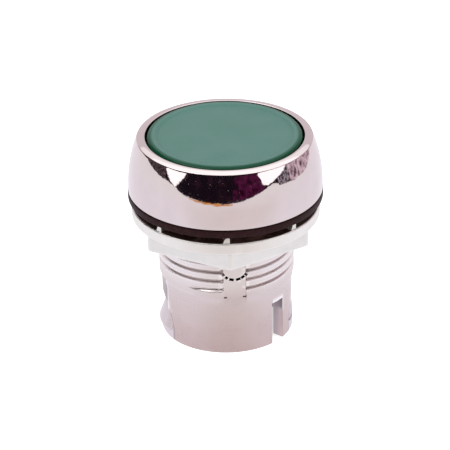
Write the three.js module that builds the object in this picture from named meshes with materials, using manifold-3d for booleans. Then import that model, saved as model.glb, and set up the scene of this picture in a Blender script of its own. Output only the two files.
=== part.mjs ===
// Flush, spring-return push-button head for a round panel cut-out: a chromed bezel on a threaded
// die-cast sleeve, clamped to the panel by a toothed washer and a hexagon nut. The cap drives a
// plunger down the sleeve, and a coil spring brings it back.
// Millimetres, +Z towards the operator, origin on the sleeve's axis at its rear end.
// Angles turn about +Z from the keyway, which faces -Y, and are positive towards +X.
import * as THREE from "three";
import { mergeVertices } from "three/addons/utils/BufferGeometryUtils.js";
import Module from "manifold-3d";

const wasm = await Module();
wasm.setup();

// ---- Heights of the stack ----
const REAR_Z = 0;
const NUT_Z = 16.3;
const WASHER_Z = 19.1;
const WASHER_TOP_Z = 20.98;
const GASKET_Z = 22.16;
const HEAD_Z = 23.4; // foot of the bezel, top of the gasket
const HEAD_FLOOR_Z = 24.6;
const RETAINER_TOP_Z = 25.0;
const CUP_TOP_Z = 29.5;
const LIP_Z = 32.0; // front of the bezel
const TRAVEL = 4.3; // stroke of the button

// ---- Bezel and gasket ----
const BEZEL_R = 14.75;
const BEZEL_ARC_Z = 24.2; // where the side starts to curve in
const BEZEL_ARC_R = 20.25;
const BEZEL_ARC_TOP_Z = 31.8;
const BEZEL_BORE_R = 13.2;
const OPENING_R = 12.0;
const GASKET_R = 14.8;
const GASKET_BORE_R = 10.4;

// ---- Sleeve ----
const SLEEVE_R = 10.1;
const SLEEVE_BORE_R = 8.05;
const NECK_R = 10.3;
const HEAD_R = 13.15;
const CUP_R = 12.1;
const SEAL_SEAT_R = 8.9;
const SEAL_SEAT_Z = 22.2;
const THREAD_PITCH = 1.5;
const THREAD_CREST_R = 10.35;
const THREAD_ROOT_R = 9.7;
const THREAD_Z = 11.6; // middle of the ridge above the first groove, where that starts
const THREAD_START = -45; // where the first groove starts
const LAND_Z = 9.1; // where the tube widens to the thread's crests
const THREAD_TOP_Z = 21.5;
const KEYWAY_WIDTH = 3.35;
const KEYWAY_FLOOR_R = 9.95;
const KEYWAY_Z = 7.3; // where its floor has run out
const KEYWAY_FLAT_Z = 9.6; // where its floor is level
const SLOT_WIDTH = 2.5;
const SLOT_HEIGHT = 7.0;
const SLOT_ANGLES = [43, 223];
const LUGS = [
  [-90, 10.5, 9.42],
  [90, 10.15, 9.95],
]; // angle and outer radius of each bayonet lug, and the radius that it slopes down to
const LUG_OFFSET = 2.6; // how far from the axis a lug's own curve is centred
const LUG_Z = 1.2;
const LUG_TOP_Z = 4.4;
const HOLLOW_Z = 6.3; // where the floor of the hollow above a lug turns steeper
const HOLLOW_TOP_Z = 10.0;
const HOLLOW_HALF_WIDTH = 3.45;
const CLIP_GROOVE_R = 8.45;
const CLIP_GROOVE_Z = 7.3;
const CLIP_GROOVE_TOP_Z = 8.05;

// ---- Washer and nut ----
const WASHER_R = 14.33;
const NUT_BORE_R = 10.6;
const NUT_CORNER_R = 13.97;
const NUT_ANGLE = -4.5; // one corner of the hexagon
const TOOTH_ANGLE = -6.8; // one tooth of the washer
const TOOTH_COUNT = 8;
const TOOTH_TOP_Z = 21.9;

// ---- Button ----
const CAP_R = 11.72;
const CAP_FACE_R = 9.9;
const CAP_FACE_Z = 31.93;
const CAP_CREST_Z = 32.18;
const CAP_FOOT_Z = RETAINER_TOP_Z + TRAVEL + 0.2;
const CARRIER_R = 10.2;
const STEM_R = 6.0;
const SPIGOT_R = 3.9;
const PLUNGER_R = 5.2;
const PUSHER_Z = REAR_Z + TRAVEL + 0.3;

// ---- Guide and return spring ----
const BUSH_Z = 8.05;
const BUSH_TOP_Z = 11.6;
const SEAT_TOP_Z = 12.1;
const COLLAR_Z = 20.9;
const SPRING_R = 6.35;
const WIRE_R = 0.32;
const SPRING_TURNS = 6;

const ROUND = 40; // sides of the large round pieces
const SLEEVE_ROUND = 32; // sides of the sleeve, and steps in each turn of its thread
const INNER_ROUND = 24; // sides of the small ones
const PLAY = 0.05; // gap left between pressed or stacked pieces

const radians = THREE.MathUtils.degToRad;

// ---- Solids ----

// A closed three.js geometry as a manifold solid.
function solid(geometry) {
  geometry.deleteAttribute("normal");
  geometry.deleteAttribute("uv");
  const merged = mergeVertices(geometry, 1e-4);
  return new wasm.Manifold(
    new wasm.Mesh({
      numProp: 3,
      vertProperties: new Float32Array(merged.attributes.position.array),
      triVerts: new Uint32Array(merged.index.array),
    }),
  );
}

// A closed outline of [radius, height] pairs turned about Z.
function ring(outline, sides = ROUND) {
  const area = outline.reduce((sum, [r, z], i) => {
    const [nextR, nextZ] = outline[(i + 1) % outline.length];
    return sum + r * nextZ - nextR * z;
  }, 0);
  const points = outline.map(([r, z]) => new THREE.Vector2(r, z));
  if (area < 0) points.reverse();
  points.push(points[0].clone());
  return solid(new THREE.LatheGeometry(points, sides).rotateX(Math.PI / 2));
}

// A plain tube or disc between two radii and two heights, with its outer edges broken.
function washer(innerR, outerR, z, topZ, sides = INNER_ROUND, edge = 0.15) {
  return ring(
    [
      [innerR, z],
      [outerR - edge, z],
      [outerR, z + edge],
      [outerR, topZ - edge],
      [outerR - edge, topZ],
      [innerR, topZ],
    ],
    sides,
  );
}

// A solid disc, whose outline runs along the axis.
function disc(radius, z, topZ, sides = INNER_ROUND) {
  return ring(
    [
      [0, z],
      [radius, z],
      [radius, topZ],
      [0, topZ],
    ],
    sides,
  );
}

function box(x, y, z, sizeX, sizeY, sizeZ) {
  return solid(new THREE.BoxGeometry(sizeX, sizeY, sizeZ).translate(x, y, z));
}

function shapeOf(points) {
  return new THREE.Shape(points.map(([x, y]) => new THREE.Vector2(x, y)));
}

// An outline of [across, height] pairs, extruded outwards between two radii and turned to an angle.
function radialPrism(points, innerR, outerR, angle = 0) {
  const geometry = new THREE.ExtrudeGeometry(shapeOf(points), {
    depth: outerR - innerR,
    bevelEnabled: false,
  });
  return solid(geometry.rotateX(Math.PI / 2).translate(0, -innerR, 0).rotateZ(radians(angle)));
}

// An outline of [radius, height] pairs given a width across the radius and turned to an angle.
function sidePrism(points, width, angle = 0) {
  const geometry = new THREE.ExtrudeGeometry(shapeOf(points), {
    depth: width,
    bevelEnabled: false,
  });
  geometry.translate(0, 0, -width / 2).rotateX(Math.PI / 2).rotateZ(-Math.PI / 2);
  return solid(geometry.rotateZ(radians(angle)));
}

// A section of [radius, height] pairs carried up a right-hand helix from an angle. grow(t) scales the
// section's radii about its first one, so a thread can run out at its ends.
function helix(section, { z, pitch, turns, stepsPerTurn, start = 0, grow = () => 1 }) {
  const steps = Math.round(turns * stepsPerTurn);
  const count = section.length;
  const position = [];
  const index = [];
  for (let i = 0; i <= steps; i++) {
    const turn = i / stepsPerTurn;
    const angle = 2 * Math.PI * turn + radians(start);
    for (const [r, height] of section) {
      const radius = section[0][0] + (r - section[0][0]) * grow(i / steps);
      position.push(radius * Math.sin(angle), -radius * Math.cos(angle), z + pitch * turn + height);
    }
  }
  for (let i = 0; i < steps; i++) {
    for (let j = 0; j < count; j++) {
      const a = i * count + j;
      const b = i * count + ((j + 1) % count);
      index.push(a, a + count, b, b, a + count, b + count);
    }
  }
  for (let j = 1; j < count - 1; j++) {
    index.push(0, j, j + 1);
    const end = steps * count;
    index.push(end, end + j + 1, end + j);
  }
  const geometry = new THREE.BufferGeometry();
  geometry.setAttribute("position", new THREE.Float32BufferAttribute(position, 3));
  geometry.setIndex(index);
  return solid(geometry);
}

const joined = (solids) => solids.reduce((whole, piece) => whole.add(piece));
const cut = (whole, tools) => tools.reduce((rest, tool) => rest.subtract(tool), whole);

// ---- Pieces ----

function bezelRing() {
  const side = [];
  const steps = 9;
  const full = Math.asin((BEZEL_ARC_TOP_Z - BEZEL_ARC_Z) / BEZEL_ARC_R);
  for (let i = 0; i <= steps; i++) {
    const angle = (full * i) / steps;
    side.push([
      BEZEL_R - BEZEL_ARC_R * (1 - Math.cos(angle)),
      BEZEL_ARC_Z + BEZEL_ARC_R * Math.sin(angle),
    ]);
  }
  return ring([
    [BEZEL_BORE_R, HEAD_Z],
    [BEZEL_R - 0.15, HEAD_Z],
    [BEZEL_R, HEAD_Z + 0.15],
    ...side,
    [OPENING_R + 0.85, LIP_Z],
    [OPENING_R + 0.12, LIP_Z],
    [OPENING_R, LIP_Z - 0.12],
    [OPENING_R, CUP_TOP_Z + PLAY],
    [BEZEL_BORE_R, CUP_TOP_Z + PLAY],
  ]);
}

function threadRidge() {
  const crest = 0.42;
  const root = 0.66;
  const sunk = 0.1; // how far the ridge starts inside the core
  const turns = (THREAD_TOP_Z - THREAD_Z) / THREAD_PITCH;
  const runOut = 0.05;
  const grow = (t) => Math.min(1, 0.25 + t / runOut, 0.25 + (1 - t) / runOut);
  const section = [
    [THREAD_ROOT_R - sunk, -root],
    [THREAD_CREST_R, -crest],
    [THREAD_CREST_R, crest],
    [THREAD_ROOT_R - sunk, root],
  ];
  return helix(section, {
    z: THREAD_Z,
    pitch: THREAD_PITCH,
    turns,
    stepsPerTurn: SLEEVE_ROUND,
    start: THREAD_START,
    grow,
  });
}

// The unwound part of the tube below the first groove, which rises with the thread.
function threadLand() {
  const section = [
    [THREAD_ROOT_R - 0.1, -1.0],
    [THREAD_CREST_R, -1.0],
    [THREAD_CREST_R, 0.42],
    [THREAD_ROOT_R - 0.1, 0.66],
  ];
  return helix(section, {
    z: THREAD_Z - THREAD_PITCH,
    pitch: THREAD_PITCH,
    turns: 1,
    stepsPerTurn: SLEEVE_ROUND,
    start: THREAD_START,
    grow: () => 1,
  });
}

// The outline of a bayonet lug, seen from outside.
const leaf = (angle) =>
  radialPrism(
    [
      [-4.0, LUG_Z],
      [4.0, LUG_Z],
      [4.9, LUG_Z + 0.9],
      [4.1, LUG_TOP_Z],
      [-4.1, LUG_TOP_Z],
      [-4.9, LUG_Z + 0.9],
    ],
    SLEEVE_BORE_R - 1,
    NECK_R + 1,
    angle,
  );

// A ring whose outline's radii are from the axis in the middle of a lug, but which curves more
// tightly than the sleeve, so that it sinks into the sleeve on both sides.
function lugRing(outline, angle) {
  const tighter = outline.map(([r, z]) => [r - LUG_OFFSET, z]);
  return ring(tighter, SLEEVE_ROUND)
    .translate([0, -LUG_OFFSET, 0])
    .rotate([0, 0, angle]);
}

// One bayonet lug: a low barb that swells towards the rear and ends square above the sleeve's end.
function bayonetLug([angle, radius, hollowR]) {
  const barb = lugRing(
    [
      [SLEEVE_R - 0.9, LUG_Z],
      [radius - 0.1, LUG_Z],
      [radius, LUG_Z + 0.3],
      [hollowR, LUG_TOP_Z],
      [SLEEVE_R - 0.9, LUG_TOP_Z],
    ],
    angle,
  );
  return barb.intersect(leaf(angle));
}

// The hollow above a lug: it follows the lug's own slope, then its floor leads back to the outside.
function lugHollow([angle, radius, hollowR]) {
  const outside = NECK_R + 1;
  const slope = lugRing(
    [
      [radius, LUG_Z + 0.3],
      [outside, LUG_Z + 0.3],
      [outside, LUG_TOP_Z + 0.1],
      [hollowR, LUG_TOP_Z + 0.1],
      [hollowR, LUG_TOP_Z],
    ],
    angle,
  );
  const floor = ring(
    [
      [hollowR, LUG_TOP_Z - 0.05],
      [Math.max(SLEEVE_R - 0.18, hollowR + 0.03), HOLLOW_Z],
      [SLEEVE_R, HOLLOW_TOP_Z],
      [outside, HOLLOW_TOP_Z],
      [outside, LUG_TOP_Z - 0.05],
    ],
    SLEEVE_ROUND,
  );
  const window = radialPrism(
    [
      [-HOLLOW_HALF_WIDTH, LUG_Z],
      [HOLLOW_HALF_WIDTH, LUG_Z],
      [HOLLOW_HALF_WIDTH, HOLLOW_TOP_Z + 1],
      [-HOLLOW_HALF_WIDTH, HOLLOW_TOP_Z + 1],
    ],
    SLEEVE_BORE_R - 1,
    outside,
    angle,
  );
  return slope.intersect(leaf(angle)).add(floor.intersect(window));
}

// Small recesses between radial ribs, in a half circle across the keyway, and two dents below it.
function keywayRecesses() {
  const fanZ = 14.6;
  const fanR = 2.05;
  const halfHeight = 0.22;
  const depth = 0.5;
  const fan = [
    [-80, 0.2],
    [-58, 0.22],
    [-37, 0.24],
    [-14, 0.36],
    [15, 0.36],
    [36, 0.3],
    [55, 0.24],
    [80, 0.2],
  ]; // turn from the bottom of the half circle, and half a recess's width
  const pits = fan.map(([turn, half]) => {
    const sin = Math.sin(radians(turn));
    const cos = Math.cos(radians(turn));
    const corners = [
      [-half, halfHeight],
      [half, halfHeight],
      [half, -halfHeight],
      [-half, -halfHeight],
    ];
    const points = corners.map(([x, y]) => [
      sin * (fanR - y) + x * cos,
      fanZ - cos * (fanR - y) + x * sin,
    ]);
    return radialPrism(points, KEYWAY_FLOOR_R - depth, NECK_R + 1);
  });
  const dents = [-1.45, 1.45].map((x) =>
    box(x, -SLEEVE_R, KEYWAY_FLAT_Z, 0.5, 0.9, 0.3),
  );
  return [...pits, ...dents];
}

function bodySleeve() {
  const core = ring(
    [
      [SLEEVE_BORE_R, REAR_Z],
      [SLEEVE_R - 0.12, REAR_Z],
      [SLEEVE_R, REAR_Z + 0.12],
      [SLEEVE_R, LAND_Z],
      [THREAD_CREST_R, LAND_Z + 0.3],
      [THREAD_CREST_R, LAND_Z + 1.5],
      [THREAD_ROOT_R, LAND_Z + 1.6],
      [THREAD_ROOT_R, 21.7],
      [NECK_R, 22.1],
      [NECK_R, HEAD_Z],
      [HEAD_R, HEAD_Z],
      [HEAD_R, HEAD_Z + 0.35],
      [HEAD_R - 0.7, HEAD_Z + 0.35],
      [HEAD_R - 0.7, HEAD_Z + 1.05],
      [HEAD_R, HEAD_Z + 1.05],
      [HEAD_R, CUP_TOP_Z],
      [CUP_R, CUP_TOP_Z],
      [CUP_R, HEAD_FLOOR_Z],
      [SEAL_SEAT_R, HEAD_FLOOR_Z],
      [SEAL_SEAT_R, SEAL_SEAT_Z],
      [SLEEVE_BORE_R, SEAL_SEAT_Z],
      [SLEEVE_BORE_R, CLIP_GROOVE_TOP_Z],
      [CLIP_GROOVE_R, CLIP_GROOVE_TOP_Z],
      [CLIP_GROOVE_R, CLIP_GROOVE_Z],
      [SLEEVE_BORE_R, CLIP_GROOVE_Z],
    ],
    SLEEVE_ROUND,
  );
  const keywayFloor = sidePrism(
    [
      [THREAD_ROOT_R - 0.5, THREAD_Z - 1],
      [KEYWAY_FLOOR_R + 0.1, THREAD_Z - 1],
      [KEYWAY_FLOOR_R + 0.1, 22],
      [THREAD_ROOT_R - 0.5, 22],
    ],
    KEYWAY_WIDTH,
  );
  const keyway = sidePrism(
    [
      [SLEEVE_R + 0.05, KEYWAY_Z],
      [KEYWAY_FLOOR_R, KEYWAY_FLAT_Z],
      [KEYWAY_FLOOR_R, HEAD_Z - 1],
      [NECK_R + 1, HEAD_Z - 1],
      [NECK_R + 1, KEYWAY_Z],
    ],
    KEYWAY_WIDTH,
  );
  const slots = SLOT_ANGLES.map((angle) =>
    sidePrism(
      [
        [SLEEVE_BORE_R - 1, REAR_Z - 1],
        [NECK_R + 1, REAR_Z - 1],
        [NECK_R + 1, REAR_Z + SLOT_HEIGHT],
        [SLEEVE_BORE_R - 1, REAR_Z + SLOT_HEIGHT],
      ],
      SLOT_WIDTH,
      angle,
    ),
  );
  const threaded = cut(joined([core, threadLand(), threadRidge(), keywayFloor]), [
    keyway,
    ...keywayRecesses(),
    ...LUGS.map(lugHollow),
  ]);
  return cut(joined([threaded, ...LUGS.map(bayonetLug)]), slots);
}

function bezelORing() {
  const centreR = HEAD_R - 0.35;
  const centreZ = HEAD_Z + 0.7;
  const outline = [];
  for (let i = 0; i < 6; i++) {
    const angle = (i * Math.PI) / 3;
    outline.push([centreR + 0.33 * Math.cos(angle), centreZ + 0.33 * Math.sin(angle)]);
  }
  return ring(outline);
}

function panelGasket() {
  return ring([
    [GASKET_BORE_R, GASKET_Z],
    [GASKET_R - 0.15, GASKET_Z],
    [GASKET_R, GASKET_Z + 0.15],
    [GASKET_R, HEAD_Z - 0.2],
    [GASKET_R - 0.25, HEAD_Z - 0.15],
    [GASKET_R - 0.25, HEAD_Z],
    [GASKET_BORE_R, HEAD_Z],
  ]);
}

function toothedWasher() {
  const plate = washer(NUT_BORE_R, WASHER_R, WASHER_Z, WASHER_TOP_Z, ROUND, 0.2);
  const sunk = 0.3;
  const tooth = [
    [-0.65, WASHER_TOP_Z - sunk],
    [0.54, WASHER_TOP_Z - sunk],
    [0.48, TOOTH_TOP_Z],
    [-0.1, TOOTH_TOP_Z],
  ];
  const teeth = [];
  for (let i = 0; i < TOOTH_COUNT; i++) {
    const angle = TOOTH_ANGLE + (360 * i) / TOOTH_COUNT;
    teeth.push(radialPrism(tooth, WASHER_R - 1.5, WASHER_R - 0.15, angle));
  }
  const key = radialPrism(
    [
      [-1.5, WASHER_Z + 0.1],
      [1.5, WASHER_Z + 0.1],
      [1.5, WASHER_TOP_Z - 0.1],
      [-1.5, WASHER_TOP_Z - 0.1],
    ],
    KEYWAY_FLOOR_R + 0.15,
    NUT_BORE_R + 0.5,
  );
  return joined([plate, key, ...teeth]);
}

function hexNut() {
  const top = WASHER_Z - PLAY;
  const corners = [];
  for (let i = 0; i < 6; i++) {
    const angle = radians(NUT_ANGLE + 60 * i);
    corners.push([NUT_CORNER_R * Math.sin(angle), -NUT_CORNER_R * Math.cos(angle)]);
  }
  const prism = solid(
    new THREE.ExtrudeGeometry(shapeOf(corners), { depth: top - NUT_Z, bevelEnabled: false })
      .translate(0, 0, NUT_Z),
  );
  const turned = ring([
    [NUT_BORE_R + 0.4, NUT_Z],
    [NUT_CORNER_R - 0.25, NUT_Z],
    [NUT_CORNER_R - 0.1, NUT_Z + 0.15],
    [NUT_CORNER_R - 0.1, top],
    [NUT_BORE_R, top],
    [NUT_BORE_R, NUT_Z + 0.4],
  ]);
  return prism.intersect(turned);
}

function buttonCap() {
  const pocketZ = 30.5;
  return ring([
    [0, pocketZ],
    [CARRIER_R + 0.1, pocketZ],
    [CARRIER_R + 0.1, CAP_FOOT_Z],
    [CAP_R, CAP_FOOT_Z],
    [CAP_R, CAP_CREST_Z - 0.55],
    [CAP_R - 0.13, CAP_CREST_Z - 0.28],
    [CAP_R - 0.48, CAP_CREST_Z - 0.08],
    [CAP_R - 0.97, CAP_CREST_Z],
    [CAP_FACE_R + 0.6, CAP_CREST_Z - 0.02],
    [CAP_FACE_R + 0.1, CAP_FACE_Z],
    [0, CAP_FACE_Z],
  ]);
}

function capCarrier() {
  return ring(
    [
      [0, 28.4],
      [2.6, 28.4],
      [2.6, 15.0],
      [SPIGOT_R - 0.3, 15.0],
      [SPIGOT_R, 15.4],
      [SPIGOT_R, COLLAR_Z + 1.1],
      [STEM_R, COLLAR_Z + 1.1],
      [STEM_R, CAP_FOOT_Z - 0.1],
      [CARRIER_R - 0.15, CAP_FOOT_Z - 0.1],
      [CARRIER_R, CAP_FOOT_Z + 0.1],
      [CARRIER_R, 30.45],
      [0, 30.45],
    ],
    INNER_ROUND,
  );
}

function stemSeal() {
  const outer = SEAL_SEAT_R - PLAY;
  const top = HEAD_FLOOR_Z - PLAY;
  return ring(
    [
      [STEM_R + 0.35, SEAL_SEAT_Z],
      [outer, SEAL_SEAT_Z],
      [outer, top],
      [outer - 0.8, top],
      [outer - 1.0, SEAL_SEAT_Z + 0.9],
      [STEM_R + 0.9, SEAL_SEAT_Z + 0.9],
      [STEM_R + 0.5, top - 0.1],
      [STEM_R + 0.1, top - 0.2],
      [STEM_R + 0.3, SEAL_SEAT_Z + 0.8],
    ],
    INNER_ROUND,
  );
}

function plunger() {
  return ring(
    [
      [2.6, PUSHER_Z + 0.7],
      [PLUNGER_R - 0.3, PUSHER_Z + 0.7],
      [PLUNGER_R, PUSHER_Z + 1.0],
      [PLUNGER_R, COLLAR_Z],
      [SLEEVE_BORE_R - 0.4, COLLAR_Z],
      [SLEEVE_BORE_R - 0.4, COLLAR_Z + 1.0],
      [SPIGOT_R + 0.1, COLLAR_Z + 1.0],
      [SPIGOT_R + 0.1, 14.8],
      [2.6, 14.8],
    ],
    INNER_ROUND,
  );
}

// The cross-armed foot that the contact blocks are pressed by.
function contactPusher() {
  const cup = ring(
    [
      [1.6, PUSHER_Z],
      [6.0, PUSHER_Z],
      [6.2, PUSHER_Z + 0.2],
      [6.2, 7.0],
      [PLUNGER_R + 0.1, 7.0],
      [PLUNGER_R + 0.1, PUSHER_Z + 0.6],
      [1.6, PUSHER_Z + 0.6],
    ],
    INNER_ROUND,
  );
  const arm = [
    [-1.2, PUSHER_Z],
    [1.2, PUSHER_Z],
    [1.2, 6.6],
    [-1.2, 6.6],
  ];
  return joined([cup, ...[0, 90, 180, 270].map((angle) => radialPrism(arm, 5.8, 7.6, angle))]);
}

function guideBush() {
  const bush = washer(PLUNGER_R + 0.15, SLEEVE_BORE_R - PLAY, BUSH_Z, BUSH_TOP_Z);
  const pocket = [
    [-1.1, BUSH_Z - 1],
    [1.1, BUSH_Z - 1],
    [1.1, BUSH_TOP_Z - 1],
    [-1.1, BUSH_TOP_Z - 1],
  ];
  const angles = [30, 90, 150, 210, 270, 330];
  return cut(bush, angles.map((angle) => radialPrism(pocket, 6.1, 7.3, angle)));
}

// An internal circlip with two pierced ears beside its gap.
function bushCirclip() {
  const z = CLIP_GROOVE_Z + 0.1;
  const top = CLIP_GROOVE_TOP_Z - 0.1;
  const clip = washer(7.35, CLIP_GROOVE_R - PLAY, z, top, INNER_ROUND, 0.1);
  const gap = box(0, 8, (z + top) / 2, 2.2, 3, 2);
  const ears = [-2, 2].map((x) => disc(0.9, z, top, 12).translate([x, 7.1, 0]));
  const eyes = [-2, 2].map((x) => disc(0.4, z - 1, top + 1, 8).translate([x, 7.0, 0]));
  return cut(joined([clip, ...ears]), [gap, ...eyes]);
}

function returnSpring() {
  const section = [];
  for (let i = 0; i < 6; i++) {
    const angle = (i * Math.PI) / 3;
    section.push([SPRING_R + WIRE_R * Math.cos(angle), WIRE_R * Math.sin(angle)]);
  }
  const low = SEAT_TOP_Z + PLAY + WIRE_R;
  const high = COLLAR_Z - PLAY - WIRE_R;
  const pitch = (high - low) / SPRING_TURNS;
  return helix(section, { z: low, pitch, turns: SPRING_TURNS, stepsPerTurn: 12 });
}

// ---- Finishes ----

function finish(color, roughness, metalness) {
  return new THREE.MeshStandardMaterial({ color, roughness, metalness });
}

const CHROME = finish(0xd8d2d4, 0.06, 1);
const DIE_CAST = finish(0xb9afae, 0.35, 1);
const ZINC = finish(0xdcd8d6, 0.28, 1);
const STEEL = finish(0x9fa2a5, 0.3, 1);
const GREEN = finish(0x3f7a66, 0.42, 0);
const RUBBER = finish(0x1c1614, 0.75, 0);
const NYLON = finish(0xd9d6cc, 0.5, 0);
const DARK_NYLON = finish(0x2b2d30, 0.5, 0);

// ---- Assembly: the pieces that move together share a group ----

function group(pieces) {
  const made = new THREE.Group();
  for (const [name, piece, material] of pieces) {
    const { vertProperties, triVerts } = piece.getMesh();
    const geometry = new THREE.BufferGeometry();
    geometry.setAttribute("position", new THREE.BufferAttribute(vertProperties, 3));
    geometry.setIndex(new THREE.BufferAttribute(triVerts, 1));
    geometry.computeVertexNormals();
    const mesh = new THREE.Mesh(geometry, material);
    mesh.name = name;
    made.add(mesh);
  }
  return made;
}

const housing = group([
  ["bezel_ring", bezelRing(), CHROME],
  ["body_sleeve", bodySleeve(), DIE_CAST],
  ["bezel_o_ring", bezelORing(), RUBBER],
  ["panel_gasket", panelGasket(), RUBBER],
  ["stem_seal", stemSeal(), RUBBER],
  ["seal_retainer", washer(6.4, 9.9, HEAD_FLOOR_Z, RETAINER_TOP_Z), STEEL],
  ["guide_bush", guideBush(), NYLON],
  ["bush_circlip", bushCirclip(), STEEL],
  ["spring_seat", washer(5.6, 7.8, BUSH_TOP_Z, SEAT_TOP_Z), STEEL],
  ["return_spring", returnSpring(), STEEL],
]);

const button = group([
  ["button_cap", buttonCap(), GREEN],
  ["cap_carrier", capCarrier(), DARK_NYLON],
  ["plunger", plunger(), NYLON],
  ["contact_pusher", contactPusher(), DARK_NYLON],
]);

const clamp = group([
  ["toothed_washer", toothedWasher(), ZINC],
  ["hex_nut", hexNut(), ZINC],
]);

const pushButton = new THREE.Group();
pushButton.add(housing, button, clamp);

export default pushButton;
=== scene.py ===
"""Looks of a flush push-button head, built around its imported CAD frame.

Shapes are made in millimetres and scaled to metres when they are finished. The axis is Z, with +Z
towards the operator. Angles are in degrees about Z, from the keyway, which faces -Y, towards +X.
"""
import math

import bmesh
import bpy
from mathutils import Matrix, Vector


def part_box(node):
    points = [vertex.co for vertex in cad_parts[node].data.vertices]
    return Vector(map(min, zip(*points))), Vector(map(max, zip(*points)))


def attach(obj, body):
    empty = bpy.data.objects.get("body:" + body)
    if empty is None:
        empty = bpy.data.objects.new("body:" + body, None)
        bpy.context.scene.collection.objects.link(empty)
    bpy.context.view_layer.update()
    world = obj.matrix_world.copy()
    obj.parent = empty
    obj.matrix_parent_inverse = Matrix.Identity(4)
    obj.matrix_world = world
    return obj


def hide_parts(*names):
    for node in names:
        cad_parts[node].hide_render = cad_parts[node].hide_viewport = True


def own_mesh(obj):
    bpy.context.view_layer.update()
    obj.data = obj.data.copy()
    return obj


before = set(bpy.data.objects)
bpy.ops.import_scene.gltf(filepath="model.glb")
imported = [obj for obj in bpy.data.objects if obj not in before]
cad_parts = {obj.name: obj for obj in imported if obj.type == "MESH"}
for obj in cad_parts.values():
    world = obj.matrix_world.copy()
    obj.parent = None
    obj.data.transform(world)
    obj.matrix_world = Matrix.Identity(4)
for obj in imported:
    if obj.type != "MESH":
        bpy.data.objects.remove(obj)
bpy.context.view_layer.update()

MM = 0.001


# ---- Sizes from the frame, in millimetres ----

class Span:
    """A node's outer radius and its lowest and highest height."""

    def __init__(self, node):
        low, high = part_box(node)
        self.radius = high.x / MM
        self.low = low.z / MM
        self.high = high.z / MM


bezel = Span("bezel_ring")
sleeve = Span("body_sleeve")
gasket = Span("panel_gasket")
oring = Span("bezel_o_ring")
plate = Span("toothed_washer")
nut = Span("hex_nut")
cap = Span("button_cap")
carrier = Span("cap_carrier")
seal = Span("stem_seal")
retainer = Span("seal_retainer")
bush = Span("guide_bush")
clip = Span("bush_circlip")
seat = Span("spring_seat")
spring = Span("return_spring")
plunger = Span("plunger")
pusher = Span("contact_pusher")

OPENING_R = 12.0
BEZEL_BORE_R = 13.2
SIDE_Z = bezel.low + 0.8      # where the bezel's side starts to curve in
SIDE_ARC_R = 20.25
SIDE_TOP_Z = bezel.high - 0.27
SLEEVE_R = 10.1
BORE_R = 8.05
NECK_R = 10.3
HEAD_FLOOR_Z = retainer.low
SEAL_SEAT_R = 8.9
CUP_R = 12.1
THREAD_PITCH = 1.5
THREAD_CREST_R = 10.35
THREAD_ROOT_R = 9.7
THREAD_Z = 11.6               # middle of the ridge above the first groove, where that starts
THREAD_START = -45.0          # angle where the first groove starts
LAND_Z = 9.1                  # where the tube widens to the thread's crests
GROOVE_HALF = 0.12            # half the width of a groove's floor
GROOVE_FLANK = 0.24           # width of each of its sides
THREAD_TOP_Z = 21.5
THREAD_END_Z = THREAD_TOP_Z + 0.2     # where the grooves start to run out
THREAD_END = 0.4              # how far they take to do so
KEYWAY_HALF_ANGLE = 9.6
KEYWAY_HALF_WIDTH = 1.68
KEYWAY_FLOOR_R = 9.95
KEYWAY_Z = 7.3                # where its floor has run out
KEYWAY_FLAT_Z = 9.6           # where its floor is level
SLOT_WIDTH = 2.5
SLOT_HEIGHT = 7.0
SLOT_ANGLES = (43, 223)
LUGS = ((-90, 10.5, 9.42), (90, 10.15, 9.95))     # angle, outer radius and lower radius of each
LUG_OFFSET = 2.6              # how far from the axis a lug's own curve is centred
LUG_Z = 1.2
LUG_TOP_Z = 4.4
LUG_HALF_WIDTHS = (4.0, 4.9, 4.1)     # at its foot, where it is widest, and at its top
LUG_WIDEST_Z = LUG_Z + 0.9
LUG_RIM = 0.3                 # height of the lug before its slope
HOLLOW_Z = 6.3                # where the floor of the hollow above a lug turns steeper
HOLLOW_TOP_Z = 10.0
HOLLOW_HALF_WIDTH = 3.45
LUG_SIDE_X = 6.0              # lugs and hollows lie further than this from the keyway's plane
WASHER_R = 14.33
WASHER_TOP_Z = plate.low + 1.88
NUT_BORE_R = 10.6
NUT_CORNER_R = 13.97
NUT_ANGLE = -4.5
TOOTH_ANGLE = -6.8
TOOTH_COUNT = 8
CAP_FACE_R = 9.9
CAP_FACE_Z = cap.high - 0.25
CAP_RIM_WIDTH = 0.72          # of the curve from the crest of the rim to the side
CAP_RIM_DEPTH = 0.55
CAP_RIM_R = CAP_FACE_R + 1.05         # where the rim's own material starts
STEM_R = 6.0
SPIGOT_R = 3.9
SPIGOT_BORE_R = 2.6
SPIGOT_BORE_TOP_Z = 28.4
PLUNGER_R = 5.2
WIRE_R = 0.32
RETAINER_BORE_R = 6.4
SEAT_BORE_R = 5.6
CLIP_BORE_R = 7.35
FINE = 256                    # sides of the large round pieces
MEDIUM = 128                  # sides of the small ones


# ---- Outlines ----

def clamped(value):
    return max(0.0, min(1.0, value))


def smoothed(value):
    """A soft step from 0 to 1."""
    value = clamped(value)
    return value * value * (3 - 2 * value)


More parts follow.
